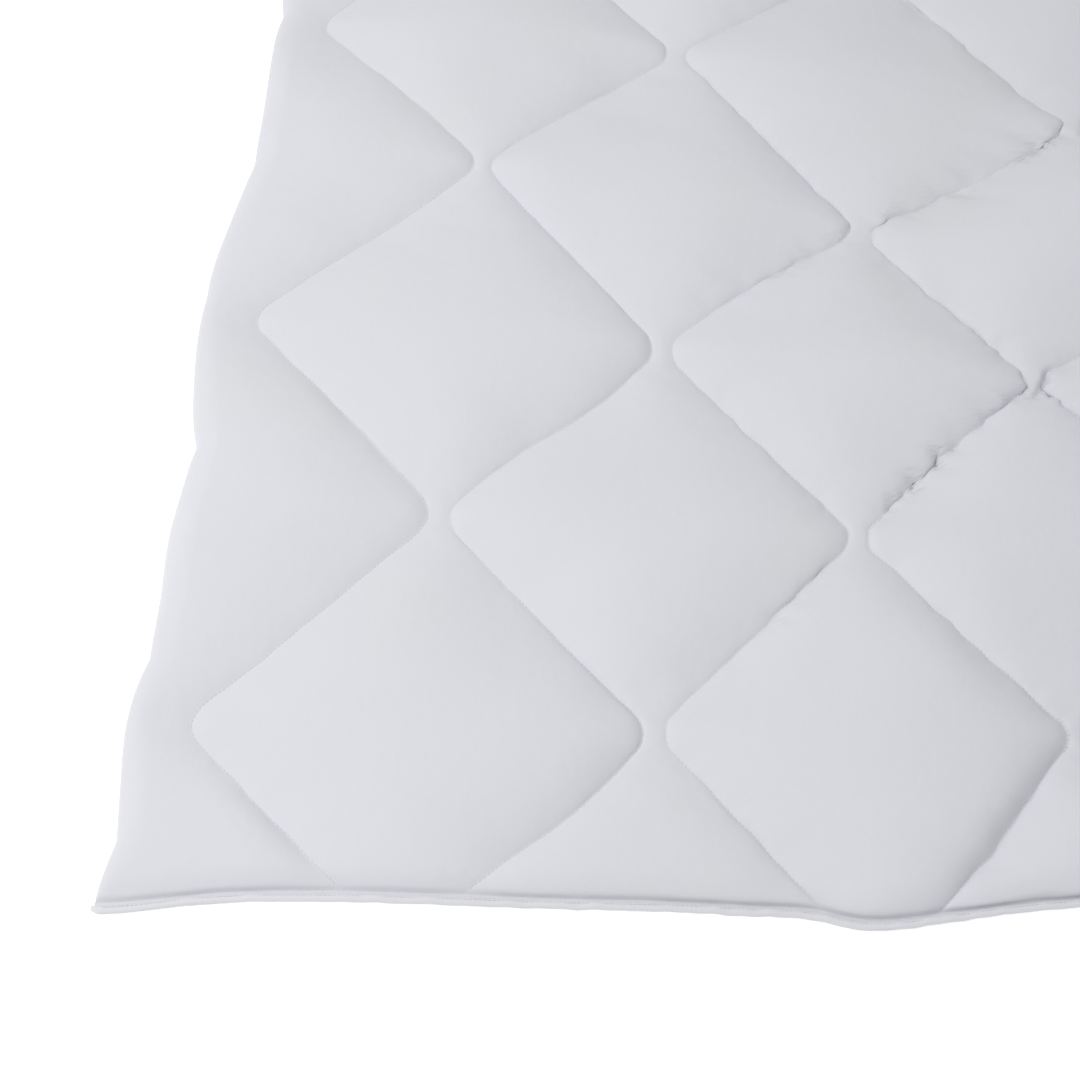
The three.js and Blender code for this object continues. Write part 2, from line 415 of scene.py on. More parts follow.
def rising(value, start, width):
    """A soft step up that begins at start."""
    return smooth((value - start) / width)


def falling(value, end, width):
    """A soft step down that is done at end."""
    return smooth((end - value) / width)


def nearness(x, y, cx, cy, reach):
    """One at a place, and less the farther from it."""
    return np.exp(-((x - cx) ** 2 + (y - cy) ** 2) / reach**2)


def band(distance, width):
    """One in the middle of a band, and less beside it."""
    return np.exp(-((distance / width) ** 2))


def strength(hills, level, spread, least, most):
    """How strong an uneven effect is."""
    return np.clip(level + spread * hills, least, most)


def soft_noise(x, y, hills, more=0):
    """Smooth random hills about one unit high, the same on each run."""
    wavelength, seed, waves = hills
    draw = np.random.default_rng(seed + more)
    total = np.zeros(np.broadcast(x, y).shape)
    for _ in range(waves):
        turn = draw.uniform(0, 2 * math.pi)
        number = 2 * math.pi / (wavelength * draw.uniform(*HILL_RANGE))
        phase = draw.uniform(0, 2 * math.pi)
        total += np.sin(number * (x * math.cos(turn) + y * math.sin(turn)) + phase)
    return total * math.sqrt(2 / waves)


def swing(from_turn):
    """Distance of a zigzag from its own middle, at a distance from the turn."""
    near = np.minimum(np.abs(from_turn), TURN_REACH)
    rounded = QUARTER - TURN_RADIUS / math.cos(SLANT) + np.sqrt(TURN_RADIUS**2 - near**2)
    straight = QUARTER - np.abs(from_turn) * math.tan(SLANT)
    return np.where(np.abs(from_turn) > TURN_REACH, straight, rounded)


def stitch_across(line, along):
    """Place across the duvet of a stitch line. Neighbouring lines are mirrored."""
    turns = (along - FIRST_ROW) / ROW_PITCH
    nearest = np.round(turns)
    side = np.where((nearest + line) % 2 == 0, -1, 1)
    middle = STITCH_MARGIN + QUARTER * (2 * line + 1)
    return middle + side * swing((turns - nearest) * ROW_PITCH)


def hem_distance(along):
    """Distance from the nearer end of the duvet."""
    return np.minimum(along, LENGTH - along)


def edge_in(along):
    """How far the turned long edge is drawn in beside the stitch line's turns. It ends at the hems."""
    wave = 1 - np.cos(math.pi * (along - FIRST_ROW) / ROW_PITCH)
    return EDGE_DRAW_IN * wave * smooth(hem_distance(along) / EDGE_DRAW_FADE)


def nicks(along, places):
    """Sharp little draw-ins of a turned edge."""
    total = 0
    for place, depth in np.array(places) * MM:
        total = total + depth * np.exp(-np.sqrt((along - place) ** 2 + NICK_ROUNDING**2) / NICK_REACH)
    return total


def laid(x, y):
    """Where a place of the flat duvet lies once it is dragged, from the middle of the outline."""
    px, py = x - WIDTH / 2, y - LENGTH / 2 + CENTRING
    for cx, cy, reach, dx, dy in np.array(PULLS) * MM:
        share = nearness(x, y, cx, cy, reach)
        px = px + dx * share
        py = py + dy * share
    return px, py


def lift_at(x, y):
    """How far the cloth stands off the floor."""
    lift = 0
    for cx, cy, reach, height in np.array(SWELLS) * MM:
        share = np.minimum(1, np.hypot(x - cx, y - cy) / reach)
        lift = lift + height * (1 - share * share) ** 2
    return lift * rising(hem_distance(y), HEM_FLAT, HEM_SETTLE)


def crease_depth(x, y):
    """Depth of the short creases. Each is deepest in its middle."""
    total = 0
    for x0, y0, x1, y1, depth in np.array(CREASES) * MM:
        ax, ay = x1 - x0, y1 - y0
        long = math.hypot(ax, ay)
        share = ((x - x0) * ax + (y - y0) * ay) / long**2
        beside = ((x - x0) * ay - (y - y0) * ax) / long
        deepest = depth * band(beside, CREASE_WIDTH)
        total = total + deepest * rising(share, *CREASE_IN) * falling(share, *CREASE_OUT)
    return total


class Seam:
    """One stitch line, to measure how far places are from it and where along it they are.

    The plain distance would make a sharp ridge midway between two stretches of the line. Away from the line
    it is worked out from the whole line instead, from a sum of squared distances to the power of -POWER,
    which rounds the ridge. SPREAD is what that sum comes to at a distance of one from a straight line.
    """

    # Step along the line, steps looked at on each side of a place, and length of the line past the hems
    STEP = 2 * MM
    WINDOW = 56
    BEYOND = 0.14

    # The rounded distance, and where it takes over: start and width
    POWER = 4
    SPREAD = 0.98175
    LEAST_SQUARE = 1e-8
    TAKE_OVER = (3 * MM, 9 * MM)

    def __init__(self, line):
        self.along = np.arange(-self.BEYOND, LENGTH + self.BEYOND, self.STEP)
        self.across = stitch_across(line, self.along)
        run = np.gradient(self.across, self.along)
        length = np.sqrt(1 + run**2)
        self.tangent = np.stack([run / length, 1 / length], -1)
        self.weight = length * self.STEP / self.SPREAD
        self.arc = np.concatenate([[0], np.cumsum(np.hypot(np.diff(self.across), np.diff(self.along)))])

    def measure(self, x, along):
        """Distance from the seam and place along it. The rows of x lie at the distances in along."""
        middle = np.round((along + self.BEYOND) / self.STEP).astype(int)
        window = middle[:, None] + np.arange(-self.WINDOW, self.WINDOW + 1)
        index = np.clip(window, 0, len(self.along) - 1)
        dx = x[:, :, None] - self.across[index][:, None, :]
        dy = along[:, None, None] - self.along[index][:, None, :]
        square = dx * dx + dy * dy
        found = np.take_along_axis(index, np.argmin(square, axis=2), axis=1)
        near = (1 / np.maximum(square, self.LEAST_SQUARE)) ** self.POWER
        total = (near * self.weight[index][:, None, :]).sum(axis=2)
        rounded = total ** (-1 / (2 * self.POWER - 1))
        dx = x - self.across[found]
        dy = along[:, None] - self.along[found]
        tangent = self.tangent[found]
        distance = np.abs(dx * tangent[..., 1] - dy * tangent[..., 0])
        arc = self.arc[found] + dx * tangent[..., 0] + dy * tangent[..., 1]
        return distance + (rounded - distance) * rising(distance, *self.TAKE_OVER), arc


SEAMS = [Seam(line) for line in range(STITCH_LINES)]


def row_places():
    """Places of the mesh's rows along the duvet: close at the hems and over the front, wider behind."""
    near_hem = np.array(HEM_ROWS) * MM + HEM_INSET
    front = np.arange(near_hem[-1] + FRONT_PITCH, FRONT_END, FRONT_PITCH)
    back = np.arange(front[-1] + BACK_PITCH, LENGTH - near_hem[-1] - BACK_PITCH / 2, BACK_PITCH)
    return np.concatenate([near_hem, front, back, (LENGTH - near_hem)[::-1]])


def graded(width, steps, closeness):
    """Distances from a seam to the middle of a strip, close together at the seam."""
    wider = np.maximum(width, NARROW_STRIP) / NARROW_STRIP
    crowding = np.maximum(LEAST_CROWDING, LEAST_CROWDING + closeness * np.log(wider))[:, None]
    share = np.arange(steps + 1) / steps
    return width[:, None] * (np.exp(crowding * share) - 1) / (np.exp(crowding) - 1)


def edge_strip(width, offsets, steps, closeness):
    """Distances from the outline across an edge strip, without the seam itself."""
    rest = graded(width - offsets[-1], steps, closeness)
    inner = (width[:, None] - rest)[:, ::-1][:, :-1]
    outer = np.broadcast_to(offsets[:-1], (len(width), len(offsets) - 1))
    return np.concatenate([outer, inner], axis=1)


def panel_strip(width, steps, closeness):
    """Distances from the left seam across a panel, with that seam and without the right one."""
    half = graded(width / 2, steps, closeness)
    return np.concatenate([half, (width[:, None] - half[:, :-1])[:, ::-1]], axis=1)[:, :-1]


class Columns:
    """All places of one cloth: across, along, and how far they are from the seams and the turned edge."""

    def __init__(self, along, grading, edge_offsets):
        self.along = along
        offsets = np.array(edge_offsets) * MM
        seams = [stitch_across(line, along) for line in range(STITCH_LINES)]
        inward = edge_in(along)
        left = edge_strip(seams[0] - inward, offsets, *grading)
        right = edge_strip(WIDTH - inward - seams[-1], offsets, *grading)[:, ::-1]
        across = [inward[:, None] + left]
        pairs = [(None, 0)]
        for line in range(STITCH_LINES - 1):
            across.append(seams[line][:, None] + panel_strip(seams[line + 1] - seams[line], *grading))
            pairs.append((line, line + 1))
        across += [seams[-1][:, None], WIDTH - inward[:, None] - right]
        pairs += [(STITCH_LINES - 1, None), (STITCH_LINES - 1, None)]
        edge = [left] + [np.full(strip.shape, FAR) for strip in across[1:-1]] + [right]
        self.x = np.concatenate(across, axis=1)
        self.y = along[:, None] + 0 * self.x
        self.edge = np.concatenate(edge, axis=1)
        self.seam_columns = np.cumsum([strip.shape[1] for strip in across])[:STITCH_LINES]
        self.measure_seams(across, pairs)

    def measure_seams(self, across, pairs):
        """Distance to the seam on each side of every place, place along that seam, and its number."""
        self.distance, self.arc, self.seam = [], [], []
        for side in (0, 1):
            measured = [self.beside(strip, pair[side]) for strip, pair in zip(across, pairs)]
            distance, arc, seam = (np.concatenate(values, axis=1) for values in zip(*measured))
            self.distance.append(distance)
            self.arc.append(arc)
            self.seam.append(seam)

    def beside(self, strip, line):
        """The same for one strip and one seam, or for a side that has none."""
        if line is None:
            return np.full(strip.shape, FAR), np.zeros(strip.shape), np.full(strip.shape, -1)
        return *SEAMS[line].measure(strip, self.along), np.full(strip.shape, line)

    def seam_distance(self):
        """Distance to the nearer seam."""
        return np.minimum(*self.distance)


def filled(distance, tight=1.0, soft=1.0):
    """Share of the full loft at a distance from a seam: a pinch, a soft flank, then a gentle crown."""
    away = np.maximum(0, distance)
    pinch = PINCH * tight
    rise = pinch * (1 - np.exp(-away / PINCH_REACH)) + CROWN * (1 - np.exp(-away / CROWN_REACH))
    return rise + (1 - pinch - CROWN) * (1 - np.exp(-away / (FLANK_REACH * soft)))


def softness(x, y, side):
    """How long the flanks are: longer on a puff's left side, shorter on its right and at a few places."""
    soft = FLANK_STRETCH[side] * (1 + THIN_STRETCH * band(x, THIN_STRETCH_REACH))
    if side == 0:
        return soft
    for cx, cy, reach, share in SHORT_FLANKS:
        soft = soft * (1 - share * nearness(x, y, cx * MM, cy * MM, reach * MM))
    return soft


def hem_steepness(x):
    """The puffs stand up more steeply behind the hem away from the left corner."""
    return HEM_STEEPNESS * (1 + rising(x, *STEEP_ACROSS))


def furrow(x, hem, depth):
    """Furrow behind the binding. It is deeper away from the left corner."""
    deeper = FURROW_DEEPER * rising(x, *FURROW_ACROSS)
    return (depth + deeper) * band(hem - FURROW_PLACE, FURROW_WIDTH)


def shoulders(x, y, distance):
    """Extra height beside a puff's right seam. It climbs from the seam and fades out inside the puff."""
    share = np.clip(distance / SHOULDER_WIDTH, 0, 1)
    total = 0
    for cx, cy, reach, height in np.array(SHOULDERS) * MM:
        total = total + height * nearness(x, y, cx, cy, reach)
    return total * share * (2 - share) * band(distance, SHOULDER_FADE)


def loft_share(x, y):
    """Share of the full loft. The filling thins out towards the left corner and side."""
    reach_x, reach_y = THIN_CORNER_REACH
    corner = band(x, reach_x) * band(y, reach_y)
    return 1 - THIN_CORNER * corner - THIN_SIDE * band(x, THIN_SIDE_REACH)


def tightness(x, y):
    """How sharply the cloth rises beside the seams. It is soft near the left side and uneven all over."""
    behind = rising(x, *TIGHTER_ACROSS) * rising(y, *TIGHTER_ALONG)
    level = TIGHT_LEAST + TIGHT_GAIN * rising(x, *TIGHT_ACROSS) + TIGHT_GAIN_BEHIND * behind
    patches = sum(share * soft_noise(x, y, hills) for share, hills in zip(TIGHT_PATCHES, TIGHT_HILLS))
    return level * strength(patches, *TIGHT_STRENGTH)


def roughness_at(x, y):
    """The seams are neat near the left side and gathered beyond it, most of all away from the front hem."""
    front = ROUGH_FRONT + (1 - ROUGH_FRONT) * rising(y, *ROUGH_ALONG)
    behind = rising(x, *ROUGHER_ACROSS) * rising(y, *ROUGHER_ALONG)
    return ROUGH_LEAST + ROUGH_GAIN * rising(x, *ROUGH_ACROSS) * front + ROUGH_GAIN_BEHIND * behind


def over_seams(columns, effect):
    """An effect of each seam on the places beside it. The effect takes the line, side, arc and distance."""
    total = 0
    for side in (0, 1):
        for line in range(STITCH_LINES):
            value = effect(line, side, columns.arc[side], columns.distance[side])
            total = total + np.where(columns.seam[side] == line, value, 0)
    return total


def wander(line, _, arc, distance):
    """Sideways steps of a seam between its stitches, the same on both of its sides."""
    short, long = WANDER_HILLS
    steps = WANDER_SHORT * soft_noise(arc, 3 * line, short) + soft_noise(arc, 5 * line, long)
    return WANDER * steps * np.exp(-distance / WANDER_REACH)


def overhang(line, side, arc, distance):
    """How far a puff leans over its seam, in steps between gathers."""
    lean = strength(soft_noise(arc, 2 * line, LEAN_HILLS, side), *LEAN_STRENGTH)
    near = distance / LEAN_REACH
    return LEAN * lean * near * np.exp(1 - near)


def pucker(line, side, arc, distance):
    """Small gathers that the stitches pull into the cloth beside a seam."""
    number = 2 * line + side
    flow = soft_noise(arc, line, PUCKER_FLOW_HILLS, side)
    ripple = np.sin(2 * math.pi * arc / PUCKER_PITCH + PUCKER_FLOW * flow + PUCKER_PHASE + number)
    patches = soft_noise(arc, 0.7 * line, PUCKER_HILLS, number)
    near = np.exp(-distance / PUCKER_REACH) * (1 - np.exp(-distance / PUCKER_START))
    return PUCKER * ripple * strength(patches, *PUCKER_STRENGTH) * near


def folds(line, side, arc, distance):
    """Longer soft folds that run out from a seam into the panel."""
    hills = soft_noise(arc, FOLD_SLANT * distance + line, FOLD_HILLS, side)
    near = band(distance, FOLD_REACH) * (1 - np.exp(-distance / FOLD_START))
    return -FOLD_DEPTH * strength(hills, *FOLD_STRENGTH) * near


def gathered(line, side, arc, distance):
    """Small gathers and longer folds together."""
    return pucker(line, side, arc, distance) + folds(line, side, arc, distance)


def edge_rise(distance, roll):
    """Share of the height at a distance from a turned edge, as a quarter of a circle."""
    return np.sqrt(1 - (1 - np.clip(distance / roll, 0, 1)) ** 2)


def upper_height(columns):
    """Height of the upper cloth before its edges are turned."""
    x, y = columns.x, columns.y
    hem = hem_distance(y) - HEM_FLAT
    low = HEM_LOW + HEM_THICKNESS
    rise = PANEL_RISE * np.where(hem > 0, filled(hem * hem_steepness(x)), 0) * loft_share(x, y)
    tight = tightness(x, y)
    for side, distance in enumerate(columns.distance):
        rise = rise * filled(distance, tight, softness(x, y, side))
    z = low + (SEAM_TOP - low) * smooth(hem / HEM_TUCK) + rise - furrow(x, hem, FURROW_DEPTH) + lift_at(x, y)
    free = smooth(hem / CALM_HEM) * smooth(columns.edge / CALM_EDGE)
    z = z + over_seams(columns, gathered) * free * roughness_at(x, y) - crease_depth(x, y)
    z = z + shoulders(x, y, columns.distance[1]) * smooth(hem / SHOULDER_HEM)
    return z + CRUMPLE * soft_noise(x, y, CRUMPLE_HILLS) * filled(columns.seam_distance()) * free


def lower_height(columns):
    """Height of the lower cloth before its edges are turned."""
    hem = hem_distance(columns.y) - HEM_FLAT
    tuck = 1 - smooth(columns.seam_distance() / SEAM_TUCK)
    z = HEM_LOW + (SEAM_BOTTOM * tuck - HEM_LOW) * smooth(hem / HEM_TUCK) + lift_at(columns.x, columns.y)
    return z - furrow(columns.x, hem, 0)


def round_edges(columns, z, other_z, roll):
    """Brings a cloth's height to the outline's at the turned edges."""
    middle = np.minimum(z, other_z) + np.abs(z - other_z) * OUTLINE_HEIGHT
    return middle + (z - middle) * edge_rise(columns.edge, roll)


def lean_over(columns):
    """Sideways shift of the puffs over the seams beside them."""
    front = LEAN_FRONT + (1 - LEAN_FRONT) * rising(columns.y, *LEAN_ALONG)
    share = tightness(columns.x, columns.y) * front
    limit = LEAN_LIMIT * (columns.distance[0] + columns.distance[1])

    def shift(line, side, arc, distance):
        lean = np.minimum(overhang(line, side, arc, distance) * share, limit)
        return lean if side else -lean

    return over_seams(columns, shift)


def drift(columns):
    """Sideways shift of both cloths: seams wander between their stitches, and nicks draw the edges in."""
    wandering = over_seams(columns, wander) * roughness_at(columns.x, columns.y)
    from_left = np.exp(-np.maximum(0, columns.x) / NICK_FADE)
    from_right = np.exp(-np.maximum(0, WIDTH - columns.x) / NICK_FADE)
    left = nicks(columns.y, NICKS_LEFT + NICKS_BEHIND) * from_left
    right = nicks(columns.y, NICKS_RIGHT + NICKS_BEHIND) * from_right
    return wandering * smooth(columns.edge / CALM_EDGE) + left - right


def roll_over(columns):
    """How far the puffs roll out over the hems. Towards the front it is negative."""
    hem = hem_distance(columns.y)
    full = strength(soft_noise(columns.x, 0 * columns.y, ROLL_HILLS), *ROLL_STRENGTH)
    full = full * (ROLL_LEFT + ROLL_GAIN * rising(columns.x, *ROLL_ACROSS))
    full = full * (1 + ROLL_MORE * rising(columns.x, *ROLL_MORE_ACROSS))
    over = ROLL_OUT * full * band(hem - ROLL_PLACE, ROLL_WIDTH) * smooth(columns.edge / ROLL_EDGE)
    over = over * filled(columns.seam_distance()) * rising(hem, HEM_FLAT, ROLL_START)
    return np.where(columns.y < LENGTH / 2, -over, over)


def mesh_object(name, points, faces):
    """A smoothly shaded object."""
    mesh = bpy.data.meshes.new(name)
    mesh.from_pydata(points, [], faces)
    mesh.update()
    mesh.polygons.foreach_set("use_smooth", [True] * len(mesh.polygons))
    thing = bpy.data.objects.new(name, mesh)
    bpy.context.scene.collection.objects.link(thing)
    return thing


def grid_faces(index, flip):
    """Quads between neighbouring rows and columns of a grid of point numbers."""
    a, b, c, d = index[:-1, :-1], index[:-1, 1:], index[1:, 1:], index[1:, :-1]
    order = (a, d, c, b) if flip else (a, b, c, d)
    return np.stack(order, -1).reshape(-1, 4).tolist()


def close_hem(points, upper, lower, outward):
    """Triangles between the upper and the lower cloth at one hem."""
    faces, i, j = [], 0, 0
    while i < len(upper) - 1 or j < len(lower) - 1:
        upper_next = points[upper[i + 1]][0] if i < len(upper) - 1 else FAR
        lower_next = points[lower[j + 1]][0] if j < len(lower) - 1 else FAR
        if upper_next < lower_next:
            corners = [lower[j], upper[i + 1], upper[i]]
            i += 1
        else:
            corners = [upper[i], lower[j], lower[j + 1]]
            j += 1
        if len(set(corners)) == 3:
            faces.append(corners if outward else corners[::-1])
    return faces


def simulate(pad):
    """Runs the cloth simulation on an object that its vertex group holds, and returns the new places."""
    modifier = pad.modifiers.new("cloth", "CLOTH")
    cloth = modifier.settings
    cloth.quality = SETTLE_QUALITY
    cloth.mass = SETTLE_MASS
    cloth.tension_stiffness = SETTLE_STRETCHING
    cloth.compression_stiffness = SETTLE_STRETCHING
    cloth.shear_stiffness = SETTLE_SHEARING
    cloth.bending_stiffness = SETTLE_BENDING
    cloth.effector_weights.gravity = 0
    cloth.vertex_group_mass = "held"
    cloth.use_pressure = True
    cloth.uniform_pressure_force = SETTLE_PRESSURE
    cloth.shrink_min = -SETTLE_SLACK
    modifier.collision_settings.use_collision = False
    modifier.point_cache.frame_start = 1
    modifier.point_cache.frame_end = SETTLE_FRAMES
    for step in range(1, SETTLE_FRAMES + 1):
        bpy.context.scene.frame_set(step)
    settled = pad.evaluated_get(bpy.context.evaluated_depsgraph_get()).to_mesh()
    places = np.empty(len(settled.vertices) * 3)
    settled.vertices.foreach_get("co", places)
    bpy.context.scene.frame_set(1)
    return places


def settle():
    """Lets the upper cloth puff up between its seams. Returns how far each place of a plain grid moved."""
    rows, wide = round(LENGTH / SETTLE_STEP) + 1, round(WIDTH / SETTLE_STEP) + 1
    along = np.linspace(0, LENGTH, rows)
    x, y = np.meshgrid(np.linspace(0, WIDTH, wide), along)
    near, next_near = np.sort(np.stack([seam.measure(x, along)[0] for seam in SEAMS]), axis=0)[:2]
    hem = hem_distance(y) - HEM_FLAT
    edge = np.minimum(x, WIDTH - x)
    rise = np.where(hem > 0, filled(hem * SETTLE_STEEPNESS), 0) * filled(near) * filled(next_near)
    z = (SEAM_TOP + PANEL_RISE * rise + lift_at(x, y)) * edge_rise(edge, EDGE_ROLL)
    places = np.stack([*laid(x, y), z], -1)
    index = np.arange(rows * wide).reshape(rows, wide)
    pad = mesh_object("settling_cloth", places.reshape(-1, 3).tolist(), grid_faces(index, False))
    held = (near < SETTLE_HELD) | (hem < SETTLE_HELD_HEM) | (edge < SETTLE_HELD)
    group = pad.vertex_groups.new(name="held")
    group.add(np.nonzero(held.ravel())[0].tolist(), 1.0, "REPLACE")
    moved = simulate(pad).reshape(rows, wide, 3) - places
    data = pad.data
    bpy.data.objects.remove(pad)
    bpy.data.meshes.remove(data)
    size = np.linalg.norm(moved, axis=-1, keepdims=True)
    capped = SETTLE_CAP * np.tanh(size * SETTLE_KEPT / SETTLE_CAP)
    return moved * capped / np.maximum(size, SETTLE_LEAST)


def spline_shares(t):
    """Shares of four neighbouring values in a smooth curve, at a place between the middle two."""
    return [
        (1 - t) ** 3 / 6,
        (3 * t**3 - 6 * t**2 + 4) / 6,
        (-3 * t**3 + 3 * t**2 + 3 * t + 1) / 6,
        t**3 / 6,
    ]


def sample(grid, x, y):
    """Smooth values of the plain grid at places of the cloth."""
    rows, wide = grid.shape[:2]
    u = np.clip(x / WIDTH, 0, 1) * (wide - 1)
    v = np.clip(y / LENGTH, 0, 1) * (rows - 1)
    column, row = np.floor(u).astype(int), np.floor(v).astype(int)
    total = np.zeros((*x.shape, 3))
    for i, row_share in enumerate(spline_shares(v - row)):
        for j, column_share in enumerate(spline_shares(u - column)):
            value = grid[np.clip(row + i - 1, 0, rows - 1), np.clip(column + j - 1, 0, wide - 1)]
            total += (row_share * column_share)[..., None] * value
    return total


def upper_points(columns, puffed):
    """Places of the upper cloth's points. The puffed grid says how far the simulation moved the cloth."""
    z = round_edges(columns, upper_height(columns), lower_height(columns), EDGE_ROLL)
    x, y = laid(columns.x + drift(columns) + lean_over(columns), columns.y)
    moved = sample(puffed, columns.x, columns.y) * smooth(columns.edge / EDGE_ROLL)[..., None]
    return np.stack([x, y + roll_over(columns), z], -1) + moved


def lower_points(columns):
    """Places of the lower cloth's points."""
    z = round_edges(columns, lower_height(columns), upper_height(columns), EDGE_ROLL_BELOW)
    x, y = laid(columns.x + drift(columns), columns.y)
    return np.stack([x, y, z], -1)


def make_body():
    """The closed body, and the places of the upper cloth along each stitch line."""
    along = row_places()
    upper = Columns(along, UPPER_GRADING, UPPER_EDGE)
    lower = Columns(along, LOWER_GRADING, LOWER_EDGE)
    top = upper_points(upper, settle())
    bottom = lower_points(lower)[:, 1:-1]
    rows, wide = top.shape[:2]
    top_index = np.arange(rows * wide).reshape(rows, wide)
    inside = rows * wide + np.arange(bottom.shape[0] * bottom.shape[1]).reshape(bottom.shape[:2])
    low_index = np.concatenate([top_index[:, :1], inside, top_index[:, -1:]], axis=1)
    points = np.concatenate([top.reshape(-1, 3), bottom.reshape(-1, 3)]).tolist()
    faces = grid_faces(top_index, False) + grid_faces(low_index, True)
    faces += close_hem(points, top_index[0].tolist(), low_index[0].tolist(), True)
    faces += close_hem(points, top_index[-1].tolist(), low_index[-1].tolist(), False)
    return mesh_object("duvet", points, faces), top[:, upper.seam_columns]


def binding_section():
    """The folded tape's outline, outer face first: depth from the outer edge and height of each corner."""
    radius = BINDING_HEIGHT / 2
    turns = [math.pi * (step / BINDING_TURNS - 0.5) for step in range(BINDING_TURNS + 1)]
    bend = BINDING_DEPTH * LEG_BEND
    inner = HEM_INSET - LEG_GAP
    return [
        (BINDING_DEPTH, LEG_LIFT),
        (bend, 0),
        *((radius * (1 - math.cos(turn)), radius * (1 + math.sin(turn))) for turn in turns),
        (bend, BINDING_HEIGHT),
        (BINDING_DEPTH, BINDING_HEIGHT - LEG_PRESS),
        (BINDING_DEPTH, BINDING_HEIGHT - BINDING_CLOTH),
        (inner, BINDING_HEIGHT - BINDING_CLOTH),
        (inner, BINDING_CLOTH),
        (BINDING_DEPTH, BINDING_CLOTH),
    ]


def binding_points(section, stations, front):
    """The section at each station across the duvet, a little uneven and smaller towards the ends."""
    points = []
    wave = soft_noise(stations, 0 if front else 1, BINDING_HILLS)
    for x, ripple in zip(stations, wave):
        from_end = min(x - stations[0], stations[-1] - x)
        full = BINDING_END + (1 - BINDING_END) * float(smooth(from_end / BINDING_END_REACH))
        for depth, height in section:
            outer = 1 - depth / BINDING_DEPTH
            y = BINDING_DEPTH - (BINDING_DEPTH - depth) * full + BINDING_WAVE * ripple * outer
            z = height * (1 + BINDING_SWELL * ripple) * full
            points.append((*laid(x, y if front else LENGTH - y), z))
    return points


def make_binding(name, front):
    """One binding, folded round a hem, with closed ends."""
    section = binding_section()
    steps = round((WIDTH + 2 * BINDING_OVERHANG) / BINDING_STEP)
    stations = np.linspace(-BINDING_OVERHANG, WIDTH + BINDING_OVERHANG, steps + 1)
    index = np.arange((steps + 1) * len(section)).reshape(steps + 1, len(section))
    if front:
        index = index[::-1]
    faces = grid_faces(np.concatenate([index, index[:, :1]], axis=1), False)
    faces += [index[0, ::-1].tolist(), index[-1].tolist()]
    return mesh_object(name, binding_points(section, stations, front), faces)


def add_stitch(points, faces, start, end, thick):
    """One thread stitch from start to end, a prism with sunk points at its ends."""
    ahead = (end - start).normalized()
    side = ahead.cross(Vector((0, 0, 1))).normalized()
    above = side.cross(ahead)
    turns = [2 * math.pi * step / STITCH_SIDES for step in range(STITCH_SIDES)]
    base = len(points)
    points.append(start - above * thick * STITCH_SUNK)
    for share in STITCH_TAPERS:
        middle = start.lerp(end, share)
        points += [middle + (side * math.cos(turn) + above * math.sin(turn)) * thick for turn in turns]
    points.append(end - above * thick * STITCH_SUNK)
    near, far = base + 1, base + 1 + STITCH_SIDES
    for corner in range(STITCH_SIDES):
        following = (corner + 1) % STITCH_SIDES
        faces.append((base, near + following, near + corner))
        faces.append((near + corner, near + following, far + following, far + corner))
        faces.append((far + STITCH_SIDES, far + corner, far + following))


def stitches(name, paths, pitch, long, thick):
    """Short thread stitches, one after the other, along paths on the cloth."""
    points, faces = [], []
    for path in paths:
        path = np.array(path)
        run = np.concatenate([[0], np.cumsum(np.linalg.norm(np.diff(path, axis=0), axis=1))])
        for place in np.arange(pitch, run[-1] - pitch, pitch):
            ends = [[np.interp(at, run, path[:, axis]) for axis in range(3)] for at in (place, place + long)]
            add_stitch(points, faces, Vector(ends[0]), Vector(ends[1]), thick)
    return mesh_object(name, points, faces)


def hem_path(front):
    """The path of the stitches on one binding."""
    count = round((WIDTH - 2 * HEM_THREAD_ENDS) / HEM_THREAD_STEP) + 1
    across = np.linspace(HEM_THREAD_ENDS, WIDTH - HEM_THREAD_ENDS, count)
    depth = BINDING_DEPTH - HEM_THREAD_IN
    x, y = laid(across, np.full(count, depth if front else LENGTH - depth))
    return np.stack([x, y, np.full(count, BINDING_HEIGHT + HEM_THREAD_HEIGHT)], -1)


def node(tree, kind, **values):
    """A shader node with its sockets and settings."""
    made = tree.nodes.new(kind)
    for name, value in values.items():
        if name in made.inputs:
            made.inputs[name].default_value = value
        else:
            setattr(made, name, value)
    return made


def weave(tree, place, thread_pitch):
    """Height of a plain weave: waves of both thread directions, multiplied."""
    woven = node(tree, "ShaderNodeMath", operation="MULTIPLY")
    for socket, direction in zip(woven.inputs, ("X", "Y")):
        wave = node(tree, "ShaderNodeTexWave", bands_direction=direction, wave_profile="SIN")
        wave.inputs["Scale"].default_value = WAVE_SPACING / thread_pitch
        wave.inputs["Distortion"].default_value = 0.6
        tree.links.new(place.outputs["Object"], wave.inputs["Vector"])
        tree.links.new(wave.outputs["Fac"], socket)
    return woven


def tinted(tree, place, colour):
    """The cloth's colour with soft, very light patches."""
    tone = node(tree, "ShaderNodeTexNoise", Scale=TINT_SCALE, Detail=2.5)
    tree.links.new(place.outputs["Object"], tone.inputs["Vector"])
    shades = node(tree, "ShaderNodeValToRGB")
    shades.color_ramp.elements.new(0.5)
    for element, (position, tint) in zip(shades.color_ramp.elements, TINTS):
        element.position = position
        element.color = (*(channel * share for channel, share in zip(colour, tint)), 1)
    tree.links.new(tone.outputs["Fac"], shades.inputs["Fac"])
    return shades


